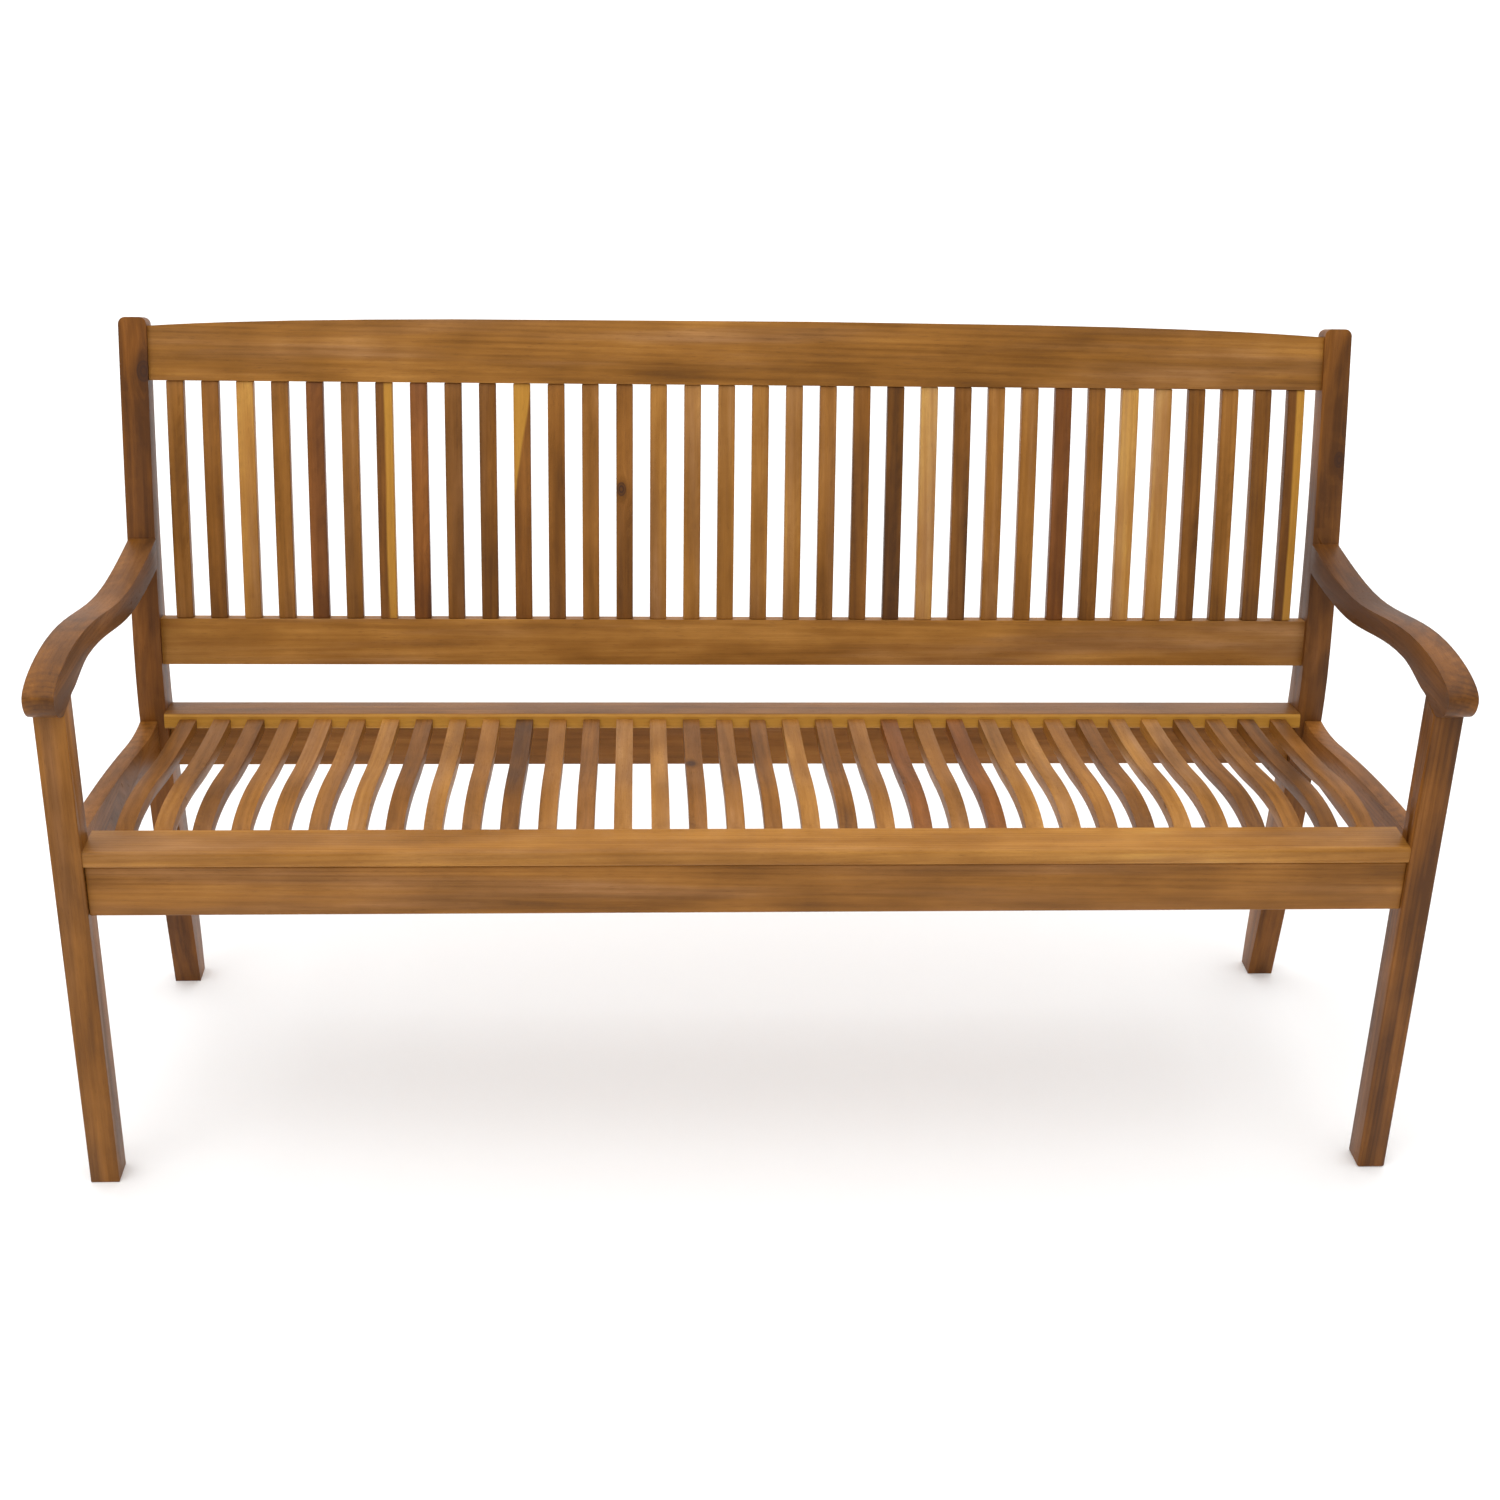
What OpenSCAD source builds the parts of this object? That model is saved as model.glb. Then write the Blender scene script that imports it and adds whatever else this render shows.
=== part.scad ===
// Three-seat garden bench in oiled acacia.
// Millimetres, +Z up, the front of the bench faces -Y, +X is the right end seen from the front.
// The origin is on the floor at the middle of the bench's overall box.
// Two side frames (leg, armrest, side rail, rear post) are joined by four cross rails with
// bolts and barrel nuts; seat slats and back slats are tenoned into their rails.

/* [Overall] */
// Width across the outer faces of the front legs
overall_w = 1570; // [1500:10:1620]
// How far the outer face of each rear post stands in from the front leg's
taper = 18; // [12:1:20]
// Width of legs, posts and armrests, across the bench
frame_w = 34; // [34:1:36]

/* [Front legs] */
// Depth of a front leg
leg_d = 38; // [38:1:42]
// Height of a front leg at its front face
leg_h = 612; // [608:1:616]
// How much higher the leg's sloping top is at its rear face
leg_top_rise = 11; // [9:1:12]

/* [Rear posts] */
// Height of a rear post at its front face
post_h = 916; // [914:1:918]
// Front face of the post at the floor, behind the front of the leg
post_foot_y = 459; // [455:1:463]
// Front face of the post at seat height
post_seat_y = 407; // [405:1:408]
// Front face of the post at its top
post_top_y = 506; // [504:1:508]
// Depth of the post at the floor
post_foot_d = 34; // [32:1:36]
// Depth of the post at seat height
post_seat_d = 44; // [43:1:46]
// Depth of the post at its top
post_top_d = 29; // [28:1:31]
// Radius of the rounded corners of the post's top
post_round = 9; // [3:1:12]

/* [Armrests] */
// Height of the top of the armrest at its hump
arm_hump_z = 669; // [667:1:671]
// Height of the top of the armrest at its hollow
arm_hollow_z = 641; // [639:1:643]
// Height of the top of the armrest where it meets the post
arm_rear_z = 653; // [650:1:656]
// How far the rounded nose stands in front of the leg
arm_nose = 28; // [24:1:30]

/* [Seat] */
// Height of the top of the front seat rail
seat_h = 443; // [441:1:445]
// Depth of the seat rails, front to back
seat_rail_d = 55; // [54:1:56]
// Thickness of the seat rails
seat_rail_t = 20; // [20:1:21]
// Downward tilt of the rear seat rail towards the back, in degrees
seat_tilt = 8; // [6:1:9]
// Height of the aprons under the seat rails
apron_h = 62; // [60:1:66]
// Thickness of the aprons
apron_t = 22; // [22:1:24]
// Thickness of the side rails
side_rail_t = 22; // [20:1:24]

/* [Back] */
// Rake of the lower back rail, in degrees
low_rake = 10; // [9:0.5:10.5]
// Rake of the crest rail, in degrees
crest_rake = 15; // [14.5:0.5:15.5]
// Thickness of the back rails
back_rail_t = 20; // [19:1:21]
// Height of the lower back rail along its face
low_rail_h = 59; // [56:1:60]
// Height of the crest rail along its face at its ends
crest_end_h = 66; // [60:1:68]
// Height of the crest rail along its face at its middle
crest_mid_h = 79; // [70:1:80]

/* [Slats] */
// Number of slats in the seat, and again in the back
slats = 34; // [34:2:34]
// Width of a slat
slat_w = 21; // [19:1:22]
// Thickness of a seat slat
seat_slat_t = 15; // [14:1:15]
// Thickness of a back slat
back_slat_t = 15; // [12:1:16]
// Distance between seat slats at the front seat rail
seat_pitch_front = 43.35; // [43.2:0.05:43.5]
// Distance between seat slats at the rear seat rail
seat_pitch_rear = 42.6; // [42.4:0.1:42.8]
// Distance between back slats
back_pitch = 42.6; // [42.3:0.1:42.8]

/* [Fixings] */
// Diameter of the frame bolts
bolt_d = 6; // [6:1:6]
// Diameter of the barrel nuts
nut_d = 10; // [9:1:10]
// Diameter of the locating dowels in the rail ends
dowel_d = 8; // [6:1:8]
// Diameter of the dowels in the armrests
arm_dowel_d = 10; // [8:1:12]

/* [Hidden] */
slat_pairs = slats / 2;
SEAT_SLAT_NODES = [for (i = [1 : slat_pairs]) pair_name("seat_slats_", i)];
BACK_SLAT_NODES = [for (i = [1 : slat_pairs]) pair_name("back_slats_", i)];
FRAME_NODES = [
    "front_leg_left", "front_leg_right", "rear_post_left", "rear_post_right",
    "armrest_left", "armrest_right", "side_rail_left", "side_rail_right",
    "front_apron", "rear_apron", "front_seat_rail", "rear_seat_rail",
    "lower_back_rail", "crest_rail"
];
FIXING_NODES = [
    "frame_bolts", "bolt_washers", "barrel_nuts",
    "rail_dowels", "seat_dowels", "armrest_dowels"
];

$fn = 48;
curve_steps = 10;
past = 1;                    // how far a cutter runs past the face that it opens

// Side view: y counts from the front face of the front legs, then everything moves
// back by y_mid, so that the origin lies under the middle of the bench.
half_w = overall_w / 2;
rear_half_w = half_w - taper;
leg_in = half_w - frame_w;
post_in = rear_half_w - frame_w;
post_rear_top_y = post_top_y + post_top_d * cos(crest_rake);
side_angle = atan(taper / post_seat_y);
nose_reach = arm_nose * cos(side_angle) + frame_w * sin(side_angle);
y_mid = (post_rear_top_y - nose_reach) / 2;

// Rear post curves
post_seat_z = 446;
post_top_drop = post_top_d * sin(crest_rake);
post_front_lower = [
    [post_foot_y, 0], [post_foot_y - 27, 152], [post_seat_y, 304], [post_seat_y, post_seat_z]
];
post_front_upper = [
    [post_seat_y, post_seat_z], [post_seat_y, 547],
    [post_top_y - 34, post_h - 122], [post_top_y, post_h]
];
post_rear_upper = [
    [post_rear_top_y, post_h - post_top_drop],
    [post_rear_top_y - 31, post_h - post_top_drop - 112],
    [post_seat_y + post_seat_d, 598], [post_seat_y + post_seat_d, post_seat_z]
];
post_rear_lower = [
    [post_seat_y + post_seat_d, post_seat_z], [post_seat_y + post_seat_d, 294],
    [post_foot_y + post_foot_d, 152], [post_foot_y + post_foot_d, 0]
];

// Armrest curves, from the post forwards over the top, round the nose and back below
arm_hump_y = 78;
arm_hollow_y = 303;
arm_end_y = 452;             // inside the post, which cuts the armrest to length
arm_nose_z = 640;
arm_top_rear = [
    [arm_end_y, arm_rear_z + 2], [arm_end_y - 50, arm_rear_z - 5],
    [arm_hollow_y + 48, arm_hollow_z], [arm_hollow_y, arm_hollow_z]
];
arm_top_front = [
    [arm_hollow_y, arm_hollow_z], [arm_hollow_y - 82, arm_hollow_z],
    [arm_hump_y + 82, arm_hump_z], [arm_hump_y, arm_hump_z]
];
arm_nose_top = [
    [arm_hump_y, arm_hump_z], [arm_hump_y - 54, arm_hump_z],
    [-arm_nose, arm_nose_z + 17], [-arm_nose, arm_nose_z]
];
arm_nose_under = [
    [-arm_nose, arm_nose_z], [-arm_nose, arm_nose_z - 17],
    [-14, leg_h + 2], [0, leg_h]
];
arm_under_front = [
    [leg_d, leg_h + leg_top_rise], [leg_d + 22, leg_h + leg_top_rise + 1],
    [82, arm_hump_z - 33], [112, arm_hump_z - 33]
];
arm_under_mid = [
    [112, arm_hump_z - 33], [185, arm_hump_z - 33],
    [245, arm_hollow_z - 31], [arm_hollow_y + 12, arm_hollow_z - 31]
];
arm_under_rear = [
    [arm_hollow_y + 12, arm_hollow_z - 31], [arm_hollow_y + 62, arm_hollow_z - 31],
    [arm_end_y - 45, arm_rear_z - 38], [arm_end_y, arm_rear_z - 33]
];

// Seat rails and aprons
front_rail_y = 2;
front_rail_back = front_rail_y + seat_rail_d;
front_rail_z = seat_h - seat_rail_t;
front_rail_round = 5;
front_apron_y = 6;
rear_rail_y = 390;           // front face of the rear seat rail, at its lower edge
rear_rail_z = 414.5;         // lower edge of that face
rear_apron_y = 419;
rear_apron_z = 350;

// Side rails
side_rail_foot = front_rail_z - apron_h;
side_rail_front = [[leg_d - 20, 440], [150, 438], [230, 432], [330, 418]];
side_rail_rear = [[330, 418], [360, 413.8], [395, 412], [post_seat_y + 20, 422]];

// Seat slats: the waved top line, from the front seat rail to the rear one
seat_line_front = [[front_rail_back, seat_h - 1], [88, 454], [140, 453], [200, 442.5]];
seat_line_rear = [[200, 442.5], [250, 433.5], [320, 428], [rear_rail_y + 2, 427.5]];
seat_tenon = [12, 14, 8];    // width, length, thickness
seat_tenon_front_z = seat_h - 9;
seat_tenon_rear_z = 420.5;

// Back rails and slats
low_rail_y = 417;
low_rail_z = 493;
crest_y = 491;
crest_z = 841;
back_tenon = [12, 16, 9];    // width, length, thickness
low_top = along_board(low_rail_y, low_rail_z, low_rake, low_rail_h, back_rail_t / 2);
crest_foot = along_board(crest_y, crest_z, crest_rake, 0, back_rail_t / 2);
slat_run = norm(crest_foot - low_top);
slat_line = [
    low_top, low_top + slat_run / 3 * lean(low_rake),
    crest_foot - slat_run / 3 * lean(crest_rake), crest_foot
];

// Bolted joints: [y, z, rake, x of the rail's end, x of the outer face, side of the bolt]
// The bolt runs below the middle of the rail's end (-1) or above it (1), the dowel opposite
bolt_head_d = 10;
bolt_head_t = 6;
washer_d = 13;
washer_t = 1.2;
counterbore_d = 14;
counterbore_depth = 10;
nut_inset = 30;              // from the rail's end to the barrel nut
bolt_tip = 6;                // bolt beyond the barrel nut's axis
nut_len = 14;
dowel_len = 36;
dowel_offset = 15;           // from the middle of the rail to the bolt and to the dowel
front_joint = [front_apron_y + apron_t / 2, side_rail_foot + apron_h / 2, 0, leg_in, half_w, -1];
rear_joint = [rear_apron_y + apron_t / 2, rear_apron_z + 30, 0, post_in, rear_half_w, -1];
low_mid = along_board(low_rail_y, low_rail_z, low_rake, low_rail_h / 2, back_rail_t / 2);
crest_mid = along_board(crest_y, crest_z, crest_rake, crest_end_h / 2, back_rail_t / 2);
low_joint = [low_mid[0], low_mid[1], low_rake, post_in, rear_half_w, -1];
crest_joint = [crest_mid[0], crest_mid[1], crest_rake, post_in, rear_half_w, 1];
JOINTS = [front_joint, rear_joint, low_joint, crest_joint];

// Side rail tenons, armrest dowels and seat dowels
side_tenon = [10, 11, 36];   // width, length, height
arm_dowel_len = 40;
post_dowel_z = 634;
post_dowel_y = 437;          // where the dowel crosses the post's front face
leg_dowel_z = 622;
seat_dowel_len = 30;
seat_dowel_xs = [for (i = [-2 : 2]) i * 320];

function pair_name(prefix, i) = str(prefix, two(2 * i - 1), "_", two(2 * i));
function two(n) = n < 10 ? str("0", n) : str(n);

// Point at parameter t on a cubic curve, and a run of such points
function bez(c, t) =
    pow(1 - t, 3) * c[0] + 3 * pow(1 - t, 2) * t * c[1]
    + 3 * (1 - t) * pow(t, 2) * c[2] + pow(t, 3) * c[3];
function bez_slope(c, t) =
    3 * pow(1 - t, 2) * (c[1] - c[0]) + 6 * (1 - t) * t * (c[2] - c[1])
    + 3 * pow(t, 2) * (c[3] - c[2]);
function bez_run(c, steps = curve_steps) = [for (i = [0 : steps]) bez(c, i / steps)];
function bez_tail(c, steps = curve_steps) = [for (i = [1 : steps]) bez(c, i / steps)];

// Unit direction of a board or slat leaning back by an angle, and its normal to the rear
function lean(a) = [sin(a), cos(a)];
function across(a) = [cos(a), -sin(a)];
function along_board(y, z, a, up, back) = [y, z] + up * lean(a) + back * across(a);
function side_normal(v) = [v[1], -v[0]] / norm(v);

// Points beside a cubic curve, at a distance to its right
function bez_beside(c, off, steps = curve_steps) = [
    for (i = [0 : steps]) bez(c, i / steps) + off * side_normal(bez_slope(c, i / steps))
];
function reversed(list) = [for (i = [len(list) - 1 : -1 : 0]) list[i]];

// Centre of slat number i, from 0, when the slats are pitch apart
function slat_x(i, pitch) = (i - (slats - 1) / 2) * pitch;

module placed() {
    translate([0, -y_mid, 0]) children();
}

// Side-view outline made solid between two x values
module side_slab(x0, x1) {
    translate([x0, 0, 0]) rotate([90, 0, 90]) linear_extrude(x1 - x0) children();
}

// Outline in a board's own face, made into a board that leans back
module board(y, z, rake, t) {
    translate([0, y, z]) rotate([-rake, 0, 0])
        translate([0, t, 0]) rotate([90, 0, 0]) linear_extrude(t) children();
}

// Turns a straight side piece inwards, towards the narrower rear of the bench
module turned_in() {
    translate([half_w, 0, 0]) rotate([0, 0, side_angle]) translate([-half_w, 0, 0]) children();
}

module left() {
    mirror([1, 0, 0]) children();
}

module both_sides() {
    children();
    left() children();
}

// Round bar along x, from x0 to x1
module x_bar(x0, x1, y, z, d) {
    translate([x0, y, z]) rotate([0, 90, 0]) cylinder(h = x1 - x0, d = d);
}

// ---- Joints shared by the pieces on both sides of them ----

function bolt_place(j) = [j[0], j[1]] + j[5] * dowel_offset * lean(j[2]);
function dowel_place(j) = [j[0], j[1]] - j[5] * dowel_offset * lean(j[2]);

module bolt_hole(j) {
    p = bolt_place(j);
    x_bar(j[3] - nut_inset - bolt_tip, j[4] + past, p[0], p[1], bolt_d);
    x_bar(j[4] - counterbore_depth, j[4] + past, p[0], p[1], counterbore_d);
}

module dowel_solid(j) {
    p = dowel_place(j);
    x_bar(j[3] - dowel_len / 2, j[3] + dowel_len / 2, p[0], p[1], dowel_d);
}

// Barrel nut, its axis through the thickness of the rail
module nut_bar(j, front, back) {
    p = bolt_place(j);
    translate([j[3] - nut_inset, p[0], p[1]]) rotate([-j[2], 0, 0])
        translate([0, front, 0]) rotate([-90, 0, 0]) cylinder(h = back - front, d = nut_d);
}

module nut_hole(j, t) {
    nut_bar(j, -nut_len / 2, t / 2 + past);
}

module rail_end_holes(j, t) {
    both_sides() {
        bolt_hole(j);
        dowel_solid(j);
        nut_hole(j, t);
    }
}

module side_tenon_front() {
    translate([half_w - side_rail_t / 2 - side_tenon[0] / 2 - 1.5,
               leg_d - side_tenon[1], side_rail_foot + 14])
        cube(side_tenon + [0, past, 0]);
}

module side_tenon_rear() {
    translate([rear_half_w - side_rail_t / 2 - side_tenon[0] / 2,
               post_seat_y - past, side_rail_foot + 10])
        cube(side_tenon + [0, past, 0]);
}

module leg_dowel() {
    translate([half_w - frame_w / 2, leg_d / 2, leg_dowel_z - arm_dowel_len / 2])
        cylinder(h = arm_dowel_len, d = arm_dowel_d);
}

module post_dowel() {
    translate([rear_half_w - frame_w / 2, post_dowel_y - arm_dowel_len / 2, post_dowel_z])
        rotate([-90, 0, 0]) cylinder(h = arm_dowel_len * 0.9, d = arm_dowel_d);
}

module front_seat_dowels() {
    for (x = seat_dowel_xs)
        translate([x, front_joint[0], front_rail_z - seat_dowel_len * 0.6])
            cylinder(h = seat_dowel_len, d = dowel_d);
}

module rear_seat_dowels() {
    for (x = seat_dowel_xs)
        translate([x, rear_joint[0], rear_rail_z - 24])
            cylinder(h = seat_dowel_len, d = dowel_d);
}

// ---- Front legs ----

module leg_outline() {
    polygon([[0, 0], [leg_d, 0], [leg_d, leg_h + leg_top_rise], [0, leg_h]]);
}

module front_leg() {
    placed() difference() {
        side_slab(leg_in, half_w) leg_outline();
        bolt_hole(front_joint);
        dowel_solid(front_joint);
        side_tenon_front();
        leg_dowel();
    }
}

module front_leg_left() color("peru") left() front_leg();
module front_leg_right() color("peru") front_leg();

// ---- Rear posts ----

module post_outline() {
    polygon(concat(
        bez_run(post_front_lower), bez_tail(post_front_upper),
        bez_run(post_rear_upper), bez_tail(post_rear_lower)
    ));
}

// Waste cut off the inner top corner of a post to round it, along the slope of its top
module post_corner_waste() {
    r = post_round;
    rotate([90 - crest_rake, 0, 0]) linear_extrude(4 * post_top_d, center = true) difference() {
        translate([-past, -r]) square([r + past, r + past]);
        translate([r, -r]) circle(r);
    }
}

module rear_post() {
    placed() difference() {
        side_slab(post_in, rear_half_w) post_outline();
        translate([post_in, post_top_y, post_h]) post_corner_waste();
        translate([rear_half_w, post_top_y, post_h]) mirror([1, 0, 0]) post_corner_waste();
        for (j = [rear_joint, low_joint, crest_joint]) {
            bolt_hole(j);
            dowel_solid(j);
        }
        side_tenon_rear();
        post_dowel();
    }
}

module rear_post_left() color("sienna") left() rear_post();
module rear_post_right() color("sienna") rear_post();

// ---- Armrests ----

module arm_outline() {
    polygon(concat(
        bez_run(arm_top_rear), bez_tail(arm_top_front), bez_tail(arm_nose_top),
        bez_tail(arm_nose_under), bez_run(arm_under_front), bez_tail(arm_under_mid),
        bez_tail(arm_under_rear)
    ));
}

module armrest() {
    placed() difference() {
        turned_in() side_slab(leg_in, half_w) arm_outline();
        side_slab(leg_in - frame_w, half_w + frame_w) leg_outline();
        side_slab(leg_in - 2 * frame_w, half_w) post_outline();
        leg_dowel();
        post_dowel();
    }
}

module armrest_left() color("chocolate") left() armrest();
module armrest_right() color("chocolate") armrest();

// ---- Side rails ----

module side_rail_outline() {
    polygon(concat(
        bez_run(side_rail_front), bez_tail(side_rail_rear),
        [[post_seat_y + 20, side_rail_foot], [leg_d - 20, side_rail_foot]]
    ));
}

module side_rail() {
    placed() {
        difference() {
            turned_in() side_slab(half_w - side_rail_t, half_w) side_rail_outline();
            translate([leg_in - frame_w, -leg_d, 0]) cube([3 * frame_w, 2 * leg_d, post_h]);
            side_slab(leg_in - 2 * frame_w, half_w + frame_w) post_outline();
        }
        side_tenon_front();
        difference() {
            side_tenon_rear();
            translate([leg_in - frame_w, leg_d, side_rail_foot])
                cube([2 * frame_w, post_seat_y - leg_d, apron_h]);
        }
    }
}

module side_rail_left() color("tan") left() side_rail();
module side_rail_right() color("tan") side_rail();

// ---- Aprons ----

module front_apron() {
    color("burlywood") placed() difference() {
        translate([-leg_in, front_apron_y, side_rail_foot]) cube([2 * leg_in, apron_t, apron_h]);
        rail_end_holes(front_joint, apron_t);
        front_seat_dowels();
    }
}

// The top of the rear apron follows the tilted rail that lies on it
module rear_apron() {
    color("burlywood") placed() difference() {
        side_slab(-post_in, post_in) polygon([
            [rear_apron_y, rear_apron_z], [rear_apron_y + apron_t, rear_apron_z],
            [rear_apron_y + apron_t, rear_rail_under(rear_apron_y + apron_t)],
            [rear_apron_y, rear_rail_under(rear_apron_y)]
        ]);
        rail_end_holes(rear_joint, apron_t);
        rear_seat_dowels();
    }
}

function rear_rail_under(y) = rear_rail_z - (y - rear_rail_y) * tan(seat_tilt);

// ---- Seat rails ----

// Section of a seat rail, its two front edges rounded
module seat_rail_section() {
    r = front_rail_round;
    translate([r, 0]) square([seat_rail_d - r, seat_rail_t]);
    translate([0, r]) square([r, seat_rail_t - 2 * r]);
    for (z = [r, seat_rail_t - r]) translate([r, z]) circle(r);
}

module seat_mortise(x, y, z, length) {
    translate([x - seat_tenon[0] / 2, y, z - seat_tenon[2] / 2])
        cube([seat_tenon[0], length, seat_tenon[2]]);
}

module front_tenon(i, extra = 0) {
    seat_mortise(slat_x(i, seat_pitch_front), front_rail_back - seat_tenon[1],
        seat_tenon_front_z, seat_tenon[1] + extra);
}

module rear_tenon(i, extra = 0) {
    seat_mortise(slat_x(i, seat_pitch_rear), rear_rail_y - extra,
        seat_tenon_rear_z, seat_tenon[1] + extra);
}

module front_seat_rail() {
    color("goldenrod") placed() difference() {
        translate([0, front_rail_y, front_rail_z]) side_slab(-leg_in, leg_in) seat_rail_section();
        for (i = [0 : slats - 1]) front_tenon(i, past);
        front_seat_dowels();
    }
}

module rear_rail_tilt() {
    translate([0, rear_rail_y, rear_rail_z]) rotate([-seat_tilt, 0, 0]) children();
}

module rear_seat_rail() {
    color("gold") placed() difference() {
        rear_rail_tilt() side_slab(-post_in, post_in) seat_rail_section();
        for (i = [0 : slats - 1]) rear_tenon(i, past);
        rear_seat_dowels();
    }
}

// ---- Back rails ----

module back_mortise(i, at, rake, from, to) {
    translate([slat_x(i, back_pitch), at[0], at[1]]) rotate([-rake, 0, 0])
        translate([-back_tenon[0] / 2, -back_tenon[2] / 2, from])
            cube([back_tenon[0], back_tenon[2], to - from]);
}

module lower_back_rail() {
    color("darkgoldenrod") placed() difference() {
        board(low_rail_y, low_rail_z, low_rake, back_rail_t)
            translate([-post_in, 0]) square([2 * post_in, low_rail_h]);
        for (i = [0 : slats - 1]) back_mortise(i, low_top, low_rake, -back_tenon[1], past);
        rail_end_holes(low_joint, back_rail_t);
    }
}

// Half of the crest's arched top, from its end to its middle
crest_arch = [
    [-post_in, crest_end_h], [-600, crest_end_h + 9.5],
    [-400, crest_mid_h], [0, crest_mid_h]
];

module crest_outline() {
    half = bez_run(crest_arch, 14);
    other_half = [for (p = reversed(half)) [-p[0], p[1]]];
    polygon(concat([[post_in, 0], [-post_in, 0]], half, other_half));
}

module crest_rail() {
    color("darkgoldenrod") placed() difference() {
        board(crest_y, crest_z, crest_rake, back_rail_t) crest_outline();
        for (i = [0 : slats - 1]) back_mortise(i, crest_foot, crest_rake, -past, back_tenon[1]);
        rail_end_holes(crest_joint, back_rail_t);
    }
}

// ---- Seat slats ----

module seat_slat_outline() {
    top = concat(bez_run(seat_line_front, 8), bez_tail(seat_line_rear, 8));
    drop = [0, -seat_slat_t];
    first = [front_rail_back - 10, seat_h - 1.6];
    last = [rear_rail_y + 12, 427.2];
    polygon(concat(
        [first], top, [last], [last + drop], [for (p = reversed(top)) p + drop], [first + drop]
    ));
}

// Room between the two seat rails that the slats' shoulders meet
module between_seat_rails() {
    side_slab(-half_w, half_w) polygon([
        [front_rail_back, 0], [rear_rail_face(0), 0],
        [rear_rail_face(post_h), post_h], [front_rail_back, post_h]
    ]);
}

function rear_rail_face(z) = rear_rail_y + (z - rear_rail_z) * tan(seat_tilt);

module seat_slat(i) {
    x_front = slat_x(i, seat_pitch_front);
    x_rear = slat_x(i, seat_pitch_rear);
    run = rear_rail_y - front_rail_back;
    placed() {
        intersection() {
            translate([x_front, front_rail_back, 0])
                rotate([0, 0, atan((x_front - x_rear) / run)])
                    translate([0, -front_rail_back, 0])
                        side_slab(-slat_w / 2, slat_w / 2) seat_slat_outline();
            between_seat_rails();
        }
        front_tenon(i);
        rear_tenon(i, 2 * past);
    }
}

module seat_slat_pair(n) {
    color(n % 2 == 0 ? "sandybrown" : "peru") {
        seat_slat(2 * n);
        seat_slat(2 * n + 1);
    }
}

// ---- Back slats ----

module back_slat_outline() {
    polygon(concat(
        bez_beside(slat_line, back_slat_t / 2, 12),
        reversed(bez_beside(slat_line, -back_slat_t / 2, 12))
    ));
}

module back_slat(i) {
    x = slat_x(i, back_pitch);
    placed() {
        side_slab(x - slat_w / 2, x + slat_w / 2) back_slat_outline();
        back_mortise(i, low_top, low_rake, -back_tenon[1], past);
        back_mortise(i, crest_foot, crest_rake, -past, back_tenon[1]);
    }
}

module back_slat_pair(n) {
    color(n % 2 == 0 ? "peru" : "sandybrown") {
        back_slat(2 * n);
        back_slat(2 * n + 1);
    }
}

// ---- Fixings ----

// Socket-head bolt, its head on the washer in the counterbore
module frame_bolt(j) {
    p = bolt_place(j);
    seat_x = j[4] - counterbore_depth + washer_t;
    difference() {
        union() {
            x_bar(j[3] - nut_inset - bolt_tip, seat_x, p[0], p[1], bolt_d);
            x_bar(seat_x, seat_x + bolt_head_t, p[0], p[1], bolt_head_d);
        }
        translate([seat_x + bolt_head_t - 3, p[0], p[1]]) rotate([0, 90, 0])
            cylinder(h = 3 + past, d = 5.8, $fn = 6);
    }
}

module frame_bolts() {
    color("silver") placed() both_sides() for (j = JOINTS) frame_bolt(j);
}

module bolt_washers() {
    color("gray") placed() both_sides() for (j = JOINTS) {
        p = bolt_place(j);
        difference() {
            x_bar(j[4] - counterbore_depth, j[4] - counterbore_depth + washer_t,
                p[0], p[1], washer_d);
            x_bar(j[3], j[4] + past, p[0], p[1], bolt_d);
        }
    }
}

module barrel_nuts() {
    color("darkgray") placed() both_sides() for (j = JOINTS) {
        p = bolt_place(j);
        difference() {
            nut_bar(j, -nut_len / 2, nut_len / 2);
            x_bar(j[3] - nut_inset - nut_d, j[3], p[0], p[1], bolt_d);
        }
    }
}

module rail_dowels() {
    color("wheat") placed() both_sides() for (j = JOINTS) dowel_solid(j);
}

module seat_dowels() {
    color("wheat") placed() {
        front_seat_dowels();
        rear_seat_dowels();
    }
}

module armrest_dowels() {
    color("wheat") placed() both_sides() {
        leg_dowel();
        post_dowel();
    }
}

front_leg_left();
front_leg_right();
rear_post_left();
rear_post_right();
armrest_left();
armrest_right();
side_rail_left();
side_rail_right();
front_apron();
rear_apron();
front_seat_rail();
rear_seat_rail();
lower_back_rail();
crest_rail();
for (n = [0 : slat_pairs - 1]) {
    seat_slat_pair(n);
    back_slat_pair(n);
}
frame_bolts();
bolt_washers();
barrel_nuts();
rail_dowels();
seat_dowels();
armrest_dowels();
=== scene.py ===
from math import cos, radians, sin

import bmesh
import bpy
import numpy as np
from mathutils import Matrix, Vector


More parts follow.
